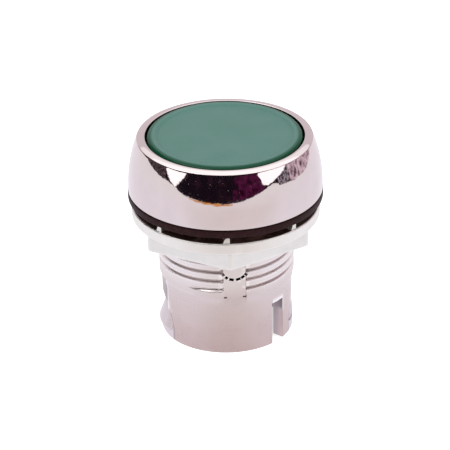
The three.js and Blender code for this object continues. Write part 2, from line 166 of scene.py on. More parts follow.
def rounded(outline, segments=5):
    """A closed outline of (x, y) or (x, y, radius) corners, with the radii rounded off."""
    points = []
    for i, corner in enumerate(outline):
        here = Vector(corner[:2])
        if len(corner) < 3:
            points.append(tuple(here))
            continue
        back = Vector(outline[i - 1][:2]) - here
        ahead = Vector(outline[(i + 1) % len(outline)][:2]) - here
        half = back.angle(ahead) / 2
        reach = min(corner[2] / math.tan(half), back.length * 0.49, ahead.length * 0.49)
        radius = reach * math.tan(half)
        middle = (back.normalized() + ahead.normalized()).normalized()
        centre = here + middle * (radius / math.sin(half))
        first = here + back.normalized() * reach - centre
        last = here + ahead.normalized() * reach - centre
        turn = math.atan2(first.cross(last), first.dot(last))
        for k in range(segments + 1):
            points.append(tuple(centre + Matrix.Rotation(turn * k / segments, 2) @ first))
    return points


def arc(centre, radius, start, end, segments):
    """Points on a circle between two angles in degrees."""
    angles = [math.radians(start + (end - start) * k / segments) for k in range(segments + 1)]
    return [(centre[0] + radius * math.cos(a), centre[1] + radius * math.sin(a)) for a in angles]


def rectangle(half, low, high, middle=0):
    return [(middle - half, low), (middle + half, low), (middle + half, high),
            (middle - half, high)]


def mirrored(side):
    """An outline of (across, other) points from those of its right half."""
    return side + [(-x, y) for x, y in reversed(side)]


# ---- Meshes ----

def add_object(name, data):
    made = bpy.data.objects.new(name, data)
    bpy.context.scene.collection.objects.link(made)
    return made


def add_mesh(name, vertices, faces):
    """An object of those faces, with its double points merged and its normals outwards."""
    mesh = bpy.data.meshes.new(name)
    mesh.from_pydata(vertices, [], faces)
    build = bmesh.new()
    build.from_mesh(mesh)
    bmesh.ops.remove_doubles(build, verts=build.verts, dist=1e-4)
    bmesh.ops.recalc_face_normals(build, faces=build.faces)
    build.to_mesh(mesh)
    build.free()
    return add_object(name, mesh)


def turned(name, section, angles):
    """A solid turned about Z: section(angle) is its closed outline of (radius, height) there."""
    sections = [section(angle) for angle in angles]
    count = len(sections[0])
    vertices = []
    for angle, outline in zip(angles, sections):
        sine, cosine = math.sin(math.radians(angle)), math.cos(math.radians(angle))
        vertices += [(r * sine, -r * cosine, z) for r, z in outline]
    faces = []
    for i in range(len(angles)):
        row, following = i * count, (i + 1) % len(angles) * count
        for j in range(count):
            k = (j + 1) % count
            faces.append((row + j, following + j, following + k, row + k))
    return add_mesh(name, vertices, faces)


def lathe(name, outline, sides=MEDIUM):
    """A solid turned about Z with the same closed outline of (radius, height) all round."""
    angles = [360 * i / sides for i in range(sides)]
    return turned(name, lambda angle: outline, angles)


def extruded(name, points, depth, place):
    """A closed outline extruded by depth; place(x, y, t) puts its points in space."""
    count = len(points)
    vertices = [place(x, y, t) for t in (0, depth) for x, y in points]
    faces = [tuple(range(count)), tuple(range(2 * count - 1, count - 1, -1))]
    faces += [(i, (i + 1) % count, (i + 1) % count + count, i + count) for i in range(count)]
    return add_mesh(name, vertices, faces)


def upright(name, points, low, depth):
    """A closed outline of (x, y) points, extruded upwards from a height."""
    return extruded(name, points, depth, lambda x, y, t: (x, y, low + t))


def at_angle(x, y, z, angle):
    """A point turned about Z."""
    sine, cosine = math.sin(math.radians(angle)), math.cos(math.radians(angle))
    return (x * cosine + y * -sine, x * sine + y * cosine, z)


def radial_prism(name, points, inner, outer, angle=0):
    """An outline of (across, height) points, extruded outwards between two radii."""
    return extruded(
        name, points, outer - inner, lambda x, z, t: at_angle(x, -inner - t, z, angle)
    )


def applied(piece):
    """The piece with its modifiers made into mesh."""
    graph = bpy.context.evaluated_depsgraph_get()
    mesh = bpy.data.meshes.new_from_object(piece.evaluated_get(graph))
    piece.modifiers.clear()
    piece.data = mesh
    return piece


def combine(piece, tool, operation):
    """Joins, cuts or crosses a piece with a tool, and removes the tool."""
    boolean = piece.modifiers.new("boolean", "BOOLEAN")
    boolean.operation = operation
    boolean.solver = "EXACT"
    boolean.object = tool
    applied(piece)
    bpy.data.objects.remove(tool)
    return piece


def gathered(pieces):
    """Separate solids as one object."""
    first = pieces[0]
    build = bmesh.new()
    for piece in pieces:
        build.from_mesh(piece.data)
    build.to_mesh(first.data)
    build.free()
    for piece in pieces[1:]:
        bpy.data.objects.remove(piece)
    return first


def bevelled(piece, width):
    bevel = piece.modifiers.new("bevel", "BEVEL")
    bevel.width = width
    bevel.segments = 3
    bevel.limit_method = "ANGLE"
    bevel.angle_limit = math.radians(35)
    bevel.miter_outer = "MITER_ARC"
    return applied(piece)


def finished(piece, body, slot, material, node):
    """Scales a piece to metres, shades it and puts it in place of its CAD node."""
    piece.data.transform(Matrix.Scale(MM, 4))
    piece.data.shade_smooth()
    piece.data.set_sharp_from_angle(angle=math.radians(38))
    piece.modifiers.new("normals", "WEIGHTED_NORMAL").keep_sharp = True
    applied(piece)
    piece.data.materials.clear()
    piece.data.materials.append(material)
    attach(piece, body)
    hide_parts(node)
    return piece


# ---- Materials ----

def rgba(red, green, blue):
    return (red, green, blue, 1.0)


def cleared(owner):
    """The emptied node tree of a material or world."""
    owner.use_nodes = True
    owner.node_tree.nodes.clear()
    return owner.node_tree


def add_node(tree, kind, inputs=None, **settings):
    """A node whose inputs are linked where a socket is given, and set otherwise."""
    made = tree.nodes.new("ShaderNode" + kind)
    for key, value in settings.items():
        setattr(made, key, value)
    for key, value in (inputs or {}).items():
        if isinstance(value, bpy.types.NodeSocket):
            tree.links.new(value, made.inputs[key])
        else:
            made.inputs[key].default_value = value
    return made


def ranged(tree, value, low, high, from_low=0.0, from_high=1.0):
    """The value mapped to low..high from its own range, and held at both ends."""
    inputs = {0: value, 1: from_low, 2: from_high, 3: low, 4: high}
    return add_node(tree, "MapRange", inputs).outputs[0]


def mixed(tree, factor, first, second):
    """A mix of two colours, which are the sockets 6 and 7 of a Mix node."""
    inputs = {0: factor, 6: first, 7: second}
    return add_node(tree, "Mix", inputs, data_type="RGBA").outputs[2]


def end_tree(tree, kind, socket):
    output = add_node(tree, kind)
    tree.links.new(socket, output.inputs[0])


class Surface:
    """A Principled material with the nodes that its detail comes from, in millimetres."""

    def __init__(self, name, **constants):
        self.material = bpy.data.materials.new(name)
        self.tree = cleared(self.material)
        self.shader = add_node(self.tree, "BsdfPrincipled", constants)
        end_tree(self.tree, "OutputMaterial", self.shader.outputs[0])
        place = add_node(self.tree, "TexCoord").outputs["Object"]
        self.mm = self.vector_math("SCALE", {0: place, "Scale": 1 / MM})
        self.relief = None

    def vector_math(self, operation, inputs):
        made = add_node(self.tree, "VectorMath", inputs, operation=operation)
        return made.outputs["Value" if operation == "LENGTH" else "Vector"]

    def math(self, operation, *values):
        inputs = dict(enumerate(values))
        return add_node(self.tree, "Math", inputs, operation=operation).outputs[0]

    def times(self, first, second):
        return self.math("MULTIPLY", first, second)

    def axis(self, name):
        return add_node(self.tree, "SeparateXYZ", {0: self.mm}).outputs[name]

    def flat(self):
        """The place with its height left out."""
        return self.vector_math("MULTIPLY", {0: self.mm, 1: (1, 1, 0)})

    def radius(self):
        return self.vector_math("LENGTH", {0: self.flat()})

    def around(self, along, across):
        """Coordinates that run slowly round the axis and fast across it, for turning marks."""
        direction = self.vector_math("NORMALIZE", {0: self.flat()})
        ring = self.vector_math("SCALE", {0: direction, "Scale": along})
        reach = self.math("ADD", self.axis("Z"), self.radius())
        lines = self.times(reach, across)
        offset = add_node(self.tree, "CombineXYZ", {"Z": lines}).outputs[0]
        return self.vector_math("ADD", {0: ring, 1: offset})

    def noise(self, scale, detail=3.0, roughness=0.55, vector=None):
        inputs = {
            "Vector": self.mm if vector is None else vector,
            "Scale": scale,
            "Detail": detail,
            "Roughness": roughness,
        }
        return add_node(self.tree, "TexNoise", inputs).outputs["Fac"]

    def dots(self, scale, size, share):
        """1 inside small round spots that a share of the cells hold, else 0."""
        cells = add_node(self.tree, "TexVoronoi", {"Vector": self.mm, "Scale": scale})
        near = self.math("LESS_THAN", cells.outputs["Distance"], size)
        cell = add_node(self.tree, "SeparateColor", {0: cells.outputs["Color"]})
        chosen = self.math("LESS_THAN", cell.outputs[0], share)
        return self.times(near, chosen)

    def edges(self, low, high):
        """1 along convex edges, 0 on flats."""
        pointy = add_node(self.tree, "NewGeometry").outputs["Pointiness"]
        return self.ranged(pointy, 0, 1, low, high)

    def crevices(self):
        """1 along concave edges, 0 on flats."""
        pointy = add_node(self.tree, "NewGeometry").outputs["Pointiness"]
        return self.ranged(pointy, 1, 0, 0.46, 0.49)

    def ranged(self, *values):
        return ranged(self.tree, *values)

    def mixed(self, factor, first, second):
        return mixed(self.tree, factor, first, second)

    def layered(self, body, layers):
        """A colour with layers of (mask, colour) over it."""
        for mask, colour in layers:
            body = self.mixed(mask, body, colour)
        return body

    def colour(self, socket):
        self.tree.links.new(socket, self.shader.inputs["Base Color"])

    def roughness(self, socket):
        self.tree.links.new(socket, self.shader.inputs["Roughness"])

    def bump(self, height, depth):
        """Adds relief of that depth in millimetres over the relief so far."""
        inputs = {"Strength": 1.0, "Distance": depth * MM, "Height": height}
        if self.relief is not None:
            inputs["Normal"] = self.relief
        self.relief = add_node(self.tree, "Bump", inputs).outputs[0]
        self.tree.links.new(self.relief, self.shader.inputs["Normal"])


def chrome():
    """Mirror chrome with a slight haze, low waves and tiny pits."""
    made = Surface("bezel_chrome", Metallic=1.0)
    cloud = made.noise(0.35, 4)
    made.colour(made.mixed(cloud, rgba(0.67, 0.575, 0.58), rgba(0.75, 0.655, 0.655)))
    rings = made.noise(1.0, 3, vector=made.around(1.6, 9.0))
    haze = made.ranged(made.times(cloud, rings), 0.03, 0.075, 0.1, 0.45)
    pits = made.dots(5.5, 0.1, 0.1)
    made.roughness(made.math("ADD", haze, made.times(pits, 0.25)))
    made.bump(made.noise(1.1, 2), 0.006)
    made.bump(made.times(pits, -1.0), 0.008)
    return made.material


def cast_relief(made, cloud, share, rough, grain):
    """Fine grain, turning marks and some specks, and a roughness that follows cloud and marks."""
    marks = made.noise(1.0, 4, 0.6, made.around(1.2, 11.0))
    spread = made.math("ADD", made.times(cloud, share), made.times(marks, 1 - share))
    made.roughness(made.ranged(spread, *rough, 0.3, 0.7))
    made.bump(made.noise(9.0, 3, 0.6), grain)
    made.bump(marks, 0.003)
    made.bump(made.dots(1.7, 0.1, 0.2), 0.01)
    return made.material


def cast_metal(name, dark, light, painted_reflection_z=None):
    """Plated die-cast metal, mottled, lighter on convex edges from wear and painted highlight, with
    painted shade in concave edges.

    The level face at the given height, if any, is painted brown as the reflection of the rubber
    gasket above it.
    """
    made = Surface(name, Metallic=1.0)
    cloud = made.noise(0.45, 4, 0.6)
    body = made.mixed(made.ranged(cloud, 0, 1, 0.3, 0.7), rgba(*dark), rgba(*light))
    brighter = rgba(*(min(1.0, c * 1.15) for c in light))
    darker = rgba(*(c * 0.55 for c in dark))
    # Convex edges lighter from wear and painted highlight; concave edges darkened as painted shade.
    body = made.layered(body, [(made.edges(0.505, 0.54), brighter), (made.crevices(), darker)])
    if painted_reflection_z is not None:
        # Painted reflection: the top face under the gasket is tinted brown as if it mirrored the
        # gasket.
        off = made.math("ABSOLUTE", made.math("SUBTRACT", made.axis("Z"), painted_reflection_z))
        inside = made.ranged(made.radius(), 1, 0, WASHER_R - 0.35, WASHER_R - 0.15)
        painted_reflection = made.times(made.math("LESS_THAN", off, 0.02), inside)
        body = made.mixed(painted_reflection, body, rgba(0.46, 0.24, 0.20))
    made.colour(body)
    return cast_relief(made, cloud, 0.5, (0.29, 0.43), 0.004)


def sleeve_metal():
    """The sleeve's casting, with painted reflection, highlight and shade: darker and warmer towards
    its rear end, lighter over the thread and on its edges, darker in hollows.
    """
    made = Surface("die_cast_zinc", Metallic=1.0)
    height, radius = made.axis("Z"), made.radius()
    cloud = made.noise(0.28, 3)
    # Painted reflection and highlight: darker and warmer towards the rear end, as if mirroring the
    # floor close by, and lighter over the thread.
    body = made.layered(rgba(0.545, 0.42, 0.41), [
        (made.ranged(height, 0, 1, 0, 4.5), rgba(0.605, 0.49, 0.48)),
        (made.ranged(height, 0, 1, 4, 9), rgba(0.68, 0.59, 0.585)),
        (made.ranged(height, 0, 1, 9.5, 12), rgba(0.80, 0.74, 0.73)),
        (made.ranged(cloud, 0, 0.22, 0.35, 0.65), rgba(0.74, 0.63, 0.65)),
    ])

    # Painted highlights along edges in the thread and around the hollows, and painted shade on the
    # hollows' floors.
    aside = made.math("GREATER_THAN", made.math("ABSOLUTE", made.axis("X")), LUG_SIDE_X)
    above = made.ranged(height, 0, 1, LUG_TOP_Z, LUG_TOP_Z + 0.8)
    below = made.ranged(height, 1, 0, HOLLOW_TOP_Z, HOLLOW_TOP_Z + 0.2)
    hollow = made.times(aside, made.times(above, below))
    shine = made.math("MAXIMUM", made.ranged(height, 0, 1, 10.2, 11.2), hollow)
    wear_and_highlight = made.times(made.edges(0.505, 0.545), shine)
    floor = made.ranged(radius, 1, 0, SLEEVE_R - 0.15, SLEEVE_R - 0.01)

    # The lugs are paler, with painted shade along the outline where each meets the tube.
    outline = made.ranged(height, *LUG_HALF_WIDTHS[1:], LUG_WIDEST_Z, LUG_TOP_Z)
    inward = made.math("SUBTRACT", outline, made.math("ABSOLUTE", made.axis("Y")))
    lug = made.times(aside, made.math("LESS_THAN", height, LUG_TOP_Z))
    painted_outline_shade = made.ranged(made.math("ABSOLUTE", inward), 0.8, 0, 0.05, 0.22)

    made.colour(made.layered(body, [
        # Painted highlight on the edges, then painted shade on the hollows' floors.
        (wear_and_highlight, rgba(0.97, 0.93, 0.93)),
        (made.times(floor, hollow), rgba(0.34, 0.28, 0.30)),
        (made.times(lug, made.ranged(inward, 0, 1, 0, 0.1)), rgba(0.69, 0.60, 0.63)),
        # Painted shade along each lug's outline.
        (made.times(lug, painted_outline_shade), rgba(0.36, 0.28, 0.32)),
        # Painted shade: darker on surfaces deeper than the thread's roots, darker still in the
        # bore, and near black in the keyway's recesses.
        (made.ranged(radius, 0.85, 0, 8.8, 9.7), rgba(0.40, 0.32, 0.345)),
        (made.ranged(radius, 1, 0, BORE_R, BORE_R + 0.2), rgba(0.14, 0.11, 0.12)),
        (recess_shade_mask(made), rgba(0.012, 0.008, 0.008)),
    ]))
    return cast_relief(made, cloud, 0.6, (0.24, 0.34), 0.003)


def recess_shade_mask(made):
    """1 inside the keyway's recesses, which are painted near black as shade."""
    across = made.math("ABSOLUTE", made.axis("X"))
    inside = made.math("LESS_THAN", across, KEYWAY_HALF_WIDTH)
    below = made.math("GREATER_THAN", made.axis("Y"), 0.03 - KEYWAY_FLOOR_R)
    outer = made.math("LESS_THAN", made.axis("Y"), 1.0 - KEYWAY_FLOOR_R)
    front = made.math("GREATER_THAN", made.axis("Z"), KEYWAY_FLAT_Z + 1)
    return made.times(made.times(inside, below), made.times(outer, front))


def moulded(name, deep, pale, rough):
    """Moulded plastic: even colour with a slight flow, fine grain, and edges lighter from wear and
    painted highlight.
    """
    made = Surface(name)
    flow = made.ranged(made.noise(0.16, 4, 0.6), 0, 1, 0.3, 0.7)
    body = made.mixed(flow, rgba(*deep), rgba(*pale))
    # Edges lighter from wear and painted highlight.
    wear_and_highlight = rgba(*(min(1.0, c * 1.25 + 0.01) for c in pale))
    made.colour(made.mixed(made.edges(0.52, 0.62), body, wear_and_highlight))
    fine = made.noise(11.0, 2)
    made.roughness(made.ranged(fine, rough - 0.06, rough + 0.06, 0.25, 0.75))
    made.bump(fine, 0.004)
    return made.material


def cap_plastic(name, ior):
    """The cap's satin face inside a polished rim, whose deeper green is painted shade.

    The rim's facets have a material of their own, with a lower index, so that they mirror less.
    """
    made = Surface(name, IOR=ior)
    flow = made.ranged(made.noise(0.16, 4, 0.6), 0, 1, 0.3, 0.7)
    face = made.mixed(flow, rgba(0.028, 0.118, 0.090), rgba(0.038, 0.130, 0.105))
    # Painted shade: the rim's colour is a much deeper green than the face.
    rim = made.ranged(made.radius(), 0, 1, CAP_FACE_R + 0.9, CAP_FACE_R + 1.5)
    made.colour(made.mixed(rim, face, rgba(0.001, 0.040, 0.018)))
    fine = made.noise(11.0, 2)
    satin = made.ranged(fine, 0.36, 0.46, 0.25, 0.75)
    shine = made.times(rim, -0.25)
    made.roughness(made.math("ADD", satin, shine))
    made.bump(fine, 0.004)
    return made.material


def rubber(name, dark, light, rough, gloss):
    """Moulded rubber with a fine grain and some dust."""
    made = Surface(name, IOR=1.5, **{"Specular IOR Level": gloss})
    dust = made.ranged(made.noise(2.2, 5, 0.65), 0, 1, 0.45, 0.75)
    made.colour(made.mixed(dust, rgba(*dark), rgba(*light)))
    fine = made.noise(14.0, 3)
    made.roughness(made.ranged(fine, rough - 0.08, rough + 0.1, 0.25, 0.75))
    made.bump(fine, 0.006)
    made.bump(made.noise(0.9, 2), 0.01)
    return made.material


def steel():
    """Drawn or stamped steel, with fine lines round the axis."""
    made = Surface("spring_steel", Metallic=1.0)
    grain = made.noise(1.0, 4, 0.6, made.around(0.8, 22.0))
    made.colour(made.mixed(grain, rgba(0.46, 0.46, 0.47), rgba(0.66, 0.66, 0.66)))
    made.roughness(made.ranged(grain, 0.2, 0.42))
    made.bump(grain, 0.004)
    return made.material


CHROME = chrome()
DIE_CAST = sleeve_metal()
ZINC = cast_metal("nut_zinc", (0.76, 0.735, 0.71), (0.84, 0.82, 0.795))
# The washer's copy of the zinc carries the gasket's painted reflection on its top face.
WASHER_ZINC = cast_metal("washer_zinc", (0.75, 0.715, 0.68), (0.82, 0.785, 0.755), WASHER_TOP_Z)
GASKET = rubber("gasket_rubber", (0.015, 0.003, 0.004), (0.025, 0.008, 0.009), 0.45, 0.09)
SEAL = rubber("seal_rubber", (0.008, 0.008, 0.008), (0.022, 0.022, 0.023), 0.6, 0.4)
GREEN = cap_plastic("green_cap", 1.5)
GREEN_RIM = cap_plastic("green_cap_rim", 1.27)
DARK_NYLON = moulded("dark_nylon", (0.020, 0.021, 0.024), (0.034, 0.036, 0.040), 0.45)
NYLON = moulded("natural_nylon", (0.66, 0.63, 0.54), (0.76, 0.74, 0.66), 0.42)
STEEL = steel()


# ---- Bezel, gasket and seals ----

def bezel_ring():
    """Its side is one long curve, which turns over a crown into the mouth around the cap."""
    full = math.degrees(math.asin((SIDE_TOP_Z - SIDE_Z) / SIDE_ARC_R))
    side = arc((bezel.radius - SIDE_ARC_R, SIDE_Z), SIDE_ARC_R, 0, full, 40)
    (top_r, top_z), turn_r, crown = side[-1], 0.15, 70
    steep, level = math.radians(full), math.radians(crown)
    lip = arc((top_r - turn_r * math.cos(steep), top_z - turn_r * math.sin(steep)),
              turn_r, full, crown, 6)[1:]
    mouth_r = 0.12
    crown_r = (lip[-1][0] - OPENING_R - mouth_r) / math.cos(level)
    lip += arc((OPENING_R + mouth_r, bezel.high - crown_r), crown_r, crown, 90, 10)[1:-1]
    mouth = arc((OPENING_R + mouth_r, bezel.high - mouth_r), mouth_r, 90, 180, 8)
    foot_z = cap.low + 0.05
    outline = rounded([
        (OPENING_R, foot_z, 0.1),
        (BEZEL_BORE_R, foot_z),
        (BEZEL_BORE_R, bezel.low, 0.1),
        (bezel.radius, bezel.low, 0.15),
        (bezel.radius, SIDE_Z),
    ])
    return lathe("bezel_ring_fine", outline + side[1:] + lip + mouth, FINE)


def panel_gasket():
    """Its edge has a small step at the top, against the bezel."""
    bore = NECK_R + 0.1
    step_r = gasket.radius - 0.25
    outline = rounded([
        (bore, gasket.low, 0.08),
        (gasket.radius, gasket.low, 0.16),
        (gasket.radius, gasket.high - 0.18, 0.08),
        (step_r, gasket.high - 0.13, 0.05),
        (step_r, gasket.high),
        (bore, gasket.high),
    ])
    return lathe("panel_gasket_fine", outline, FINE)


def bezel_o_ring():
    cord_r = 0.32
    centre = (oring.radius - cord_r - 0.01, (oring.low + oring.high) / 2)
    return lathe("bezel_o_ring_fine", arc(centre, cord_r, 0, 345, 23))


def stem_seal():
    """A ring with a thin lip that leans against the stem."""
    outer = seal.radius
    outline = rounded([
        (STEM_R + 0.35, seal.low, 0.1),
        (outer, seal.low, 0.1),
        (outer, seal.high, 0.1),
        (outer - 0.8, seal.high, 0.1),
        (outer - 1.0, seal.low + 0.9, 0.15),
        (STEM_R + 0.9, seal.low + 0.9, 0.15),
        (STEM_R + 0.5, seal.high - 0.1, 0.08),
        (STEM_R + 0.1, seal.high - 0.2, 0.08),
        (STEM_R + 0.3, seal.low + 0.8, 0.1),
    ])
    return lathe("stem_seal_fine", outline)


def flat_ring(name, span, bore, edge=0.1):
    outline = [
        (bore, span.low, edge),
        (span.radius, span.low, edge),
        (span.radius, span.high, edge),
        (bore, span.high, edge),
    ]
    return lathe(name, rounded(outline, 3))


# ---- Sleeve ----

def keyway_floor(angle, z):
    """The flat floor of the keyway, which runs out towards the rear."""
    rise = clamped((KEYWAY_FLAT_Z - z) / (KEYWAY_FLAT_Z - KEYWAY_Z))
    return (KEYWAY_FLOOR_R + 0.2 * rise) / math.cos(math.radians(angle))


def sleeve_radius(angle, z):
    """The outer radius of the tube and its thread, at an angle from -180 to 180."""
    if abs(angle) < KEYWAY_HALF_ANGLE:
        return min(NECK_R if z > THREAD_TOP_Z else SLEEVE_R, keyway_floor(angle, z))
    wound = (angle - THREAD_START) / 360
    offset = (z - THREAD_Z) / THREAD_PITCH - wound
    groove = math.floor(offset)
    half_land, ramp = 0.8, 0.12           # a height, and a share of a turn
    widen = smoothed((z - LAND_Z + half_land) / (2 * half_land))
    plain = SLEEVE_R + (THREAD_CREST_R - SLEEVE_R) * widen
    depth = clamped((wound + groove + 1) / ramp)
    if z > THREAD_END_Z:
        plain = NECK_R
        depth = max(0.0, 1 - (z - THREAD_END_Z) / THREAD_END)
    away = abs(offset - groove - 0.5) * THREAD_PITCH
    height = smoothed((away - GROOVE_HALF) / GROOVE_FLANK)
    return plain - depth * (1 - height) * (plain - THREAD_ROOT_R)


def sleeve_rows():
    """(height, shear) of each row of the tube: in the thread the rows follow the helix."""
    rows = [(z, 0.0) for z in (1.0, 2.5, 4.0, 5.5, 7.0, 7.6, 8.0, 8.3, 8.5, 8.7, 8.9, 9.1, 9.3)]
    start, fade_in, fade_out = LAND_Z + 0.3, 0.9, 1.4
    rows.append((start, 0.0))
    middle = THREAD_Z + THREAD_PITCH * ((180 - THREAD_START) / 360 - 0.5)
    width = GROOVE_HALF + GROOVE_FLANK
    half = (0, GROOVE_HALF) + tuple(GROOVE_HALF + GROOVE_FLANK * k / 5 for k in range(1, 6))
    offsets = half + (width + 0.05, THREAD_PITCH / 2, THREAD_PITCH - width - 0.05)
    offsets += tuple(THREAD_PITCH - away for away in reversed(half[1:]))
    for pitch in range(-2, 8):
        for offset in offsets:
            z = middle + pitch * THREAD_PITCH + offset
            share = min(1.0, (z - start) / fade_in, (THREAD_END_Z - z) / fade_out)
            if start < z < THREAD_END_Z:
                rows.append((z, share))
    return rows + [(THREAD_END_Z + rise, 0.0) for rise in (0, THREAD_END / 2, THREAD_END)]


def sleeve_section(rows, head):
    """The tube's outline at each angle: its rows, and then its head and bore, which are round."""
    def section(angle):
        signed = angle - 360 if angle > 180 else angle
        if abs(signed) < KEYWAY_HALF_ANGLE:
            shear = -signed / KEYWAY_HALF_ANGLE * (180 - KEYWAY_HALF_ANGLE) / 360
        else:
            shear = (angle - 180) / 360
        tube = []
        for z, share in rows:
            height = z + share * shear * THREAD_PITCH
            tube.append((sleeve_radius(signed, height), height))
        return tube + head
    return section


def leaf(name, angle):
    """A prism with the outline of a bayonet lug, seen from outside."""
    side = list(zip(LUG_HALF_WIDTHS, (LUG_Z, LUG_WIDEST_Z, LUG_TOP_Z)))
    return radial_prism(name, mirrored(side), BORE_R - 1, NECK_R + 1, angle)


def lug_ring(name, outline, angle):
    """A ring that has its radii in the middle of a lug, but sinks into the sleeve on both sides."""
    tighter = [(r - LUG_OFFSET, z) for r, z in outline]
    made = lathe(name, tighter, FINE)
    made.data.transform(Matrix.Translation(at_angle(0, -LUG_OFFSET, 0, angle)))
    return combine(made, leaf("leaf", angle), "INTERSECT")


def bayonet_lug(angle, radius, hollow_r):
    """A lug that stands out at the rear and slopes down to the hollow above it."""
    inside = SLEEVE_R - 0.9
    outline = rounded([
        (inside, LUG_Z),
        (radius, LUG_Z, 0.12),
        (radius, LUG_Z + LUG_RIM, 0.3),
        (hollow_r, LUG_TOP_Z),
        (inside, LUG_TOP_Z),
    ])
    return lug_ring("lug", outline, angle)


def lug_slope(angle, radius, hollow_r):
    """Clears the room over a lug's slope."""
    outside = NECK_R + 1
    outline = [
        (radius, LUG_Z + LUG_RIM),
        (outside, LUG_Z + LUG_RIM),
        (outside, LUG_TOP_Z + 0.1),
        (hollow_r, LUG_TOP_Z + 0.1),
        (hollow_r, LUG_TOP_Z),
    ]
    return lug_ring("slope", outline, angle)


def lug_hollow(angle, hollow_r):
    """The hollow above a lug, whose floor leads back to the outside."""
    outside = NECK_R + 1
    floor = lathe("hollow", [
        (hollow_r, LUG_TOP_Z - 0.05),
        (max(SLEEVE_R - 0.18, hollow_r + 0.03), HOLLOW_Z),
        (SLEEVE_R - 0.06, HOLLOW_TOP_Z),
        (outside, HOLLOW_TOP_Z),
        (outside, LUG_TOP_Z - 0.05),
    ], FINE)
    half, flare = HOLLOW_HALF_WIDTH, 0.12
    side = [(half - flare, BORE_R), (half - flare, SLEEVE_R - flare), (half, SLEEVE_R),
            (half + 0.4, outside)]
    window = extruded("window", mirrored(side), HOLLOW_TOP_Z + 1 - LUG_Z,
                      lambda x, r, t: at_angle(x, -r, LUG_Z + t, angle))
    return combine(floor, window, "INTERSECT")


def keyway_recesses():
    """Small recesses between radial ribs, in a half circle across the keyway, and two dents."""
    fan_z, fan_r, tall, depth = 14.6, 2.05, 0.22, 0.5
    fan = ((-80, 0.2), (-58, 0.22), (-37, 0.24), (-14, 0.36),
           (15, 0.36), (36, 0.3), (55, 0.24), (80, 0.2))
    tools = []
    for turn, half in fan:
        sine, cosine = math.sin(math.radians(turn)), math.cos(math.radians(turn))
        points = [(sine * (fan_r - y) + x * cosine, fan_z - cosine * (fan_r - y) + x * sine)
                  for x, y in rectangle(half, tall, -tall)]
        tools.append(radial_prism("pit", points, KEYWAY_FLOOR_R - depth, NECK_R + 1))
    low, high = KEYWAY_FLAT_Z - 0.15, KEYWAY_FLAT_Z + 0.12
    for x in (-1.45, 1.45):
        points = rectangle(0.25, low, high, x)
        tools.append(radial_prism("dent", points, SLEEVE_R - 0.45, NECK_R + 1))
    return gathered(tools)


def slot_tool(angle):
    """A slot's cutter, flared where it leaves the wall so that the slot's edges are broken."""
    half, flare = SLOT_WIDTH / 2, 0.14
    wide = half + 2 * flare
    side = [(half, BORE_R + flare), (half, SLEEVE_R - flare), (wide, SLEEVE_R + flare),
            (wide, NECK_R + 1)]
    points = mirrored(side) + [
        (-wide, BORE_R - flare), (-wide, BORE_R - 1), (wide, BORE_R - 1), (wide, BORE_R - flare),
    ]
    return extruded("slot", points, SLOT_HEIGHT + 1, lambda x, r, t: at_angle(x, -r, t - 1, angle))


def body_sleeve():
    """The threaded tube, with its O-ring's groove, cup, seal's seat and circlip's groove."""
    land_r, groove_r = oring.radius + 0.02, oring.radius - 0.68
    groove_low, groove_high = bezel.low + 0.35, bezel.low + 1.05
    head = rounded([
        (NECK_R, bezel.low, 0.15),
        (land_r, bezel.low, 0.1),
        (land_r, groove_low),
        (groove_r, groove_low, 0.1),
        (groove_r, groove_high, 0.1),
        (land_r, groove_high),
        (land_r, sleeve.high, 0.15),
        (CUP_R, sleeve.high, 0.15),
        (CUP_R, HEAD_FLOOR_Z, 0.2),
        (SEAL_SEAT_R, HEAD_FLOOR_Z, 0.08),
        (SEAL_SEAT_R, seal.low, 0.1),
        (BORE_R, seal.low, 0.08),
        (BORE_R, clip.high + 0.1),
        (clip.radius + 0.05, clip.high + 0.1),
        (clip.radius + 0.05, clip.low - 0.1),
        (BORE_R, clip.low - 0.1),
        (BORE_R, 0, 0.12),
        (SLEEVE_R, 0, 0.12),
    ], 4)
    edge = KEYWAY_HALF_ANGLE * 0.97
    keyway = [-edge + k * edge / 4 for k in range(9)]
    start, steps = KEYWAY_HALF_ANGLE, 170
    around = [start + k * (360 - 2 * start) / steps for k in range(steps + 1)]
    angles = sorted(angle % 360 for angle in keyway + around)
    tube = turned("body_sleeve_fine", sleeve_section(sleeve_rows(), head), angles)
    for angle, radius, hollow_r in LUGS:
        combine(tube, lug_slope(angle, radius, hollow_r), "DIFFERENCE")
        combine(tube, lug_hollow(angle, hollow_r), "DIFFERENCE")
        combine(tube, bayonet_lug(angle, radius, hollow_r), "UNION")
    combine(tube, keyway_recesses(), "DIFFERENCE")
    for angle in SLOT_ANGLES:
        combine(tube, slot_tool(angle), "DIFFERENCE")
    return tube


# ---- Washer and nut ----

def toothed_washer():
    """A flange with teeth on its face and a key in its bore."""
    outline = rounded([
        (NUT_BORE_R, plate.low, 0.12),
        (WASHER_R, plate.low, 0.3),
        (WASHER_R, WASHER_TOP_Z, 0.22),
        (NUT_BORE_R, WASHER_TOP_Z, 0.12),
    ])
    made = lathe("toothed_washer_fine", outline, FINE)
    low, top = WASHER_TOP_Z - 0.3, plate.high
    tooth = [(-0.65, low), (0.54, low), (0.5, top - 0.08), (0.4, top), (0.0, top),
             (-0.22, top - 0.16)]
    for i in range(TOOTH_COUNT):
        angle = TOOTH_ANGLE + 360 * i / TOOTH_COUNT
        prism = radial_prism("tooth", tooth, WASHER_R - 1.5, WASHER_R - 0.15, angle)
        combine(made, bevelled(prism, 0.07), "UNION")
    low, top = plate.low + 0.1, WASHER_TOP_Z - 0.1
    prism = radial_prism("key", rectangle(1.5, low, top), KEYWAY_FLOOR_R + 0.15, NUT_BORE_R + 0.5)
    return combine(made, bevelled(prism, 0.1), "UNION")


def soft_min(a, b, width):
    """The lower of two numbers, blended where they are close."""
    share = clamped(0.5 + 0.5 * (b - a) / width)
    return b * (1 - share) + a * share - width * share * (1 - share)


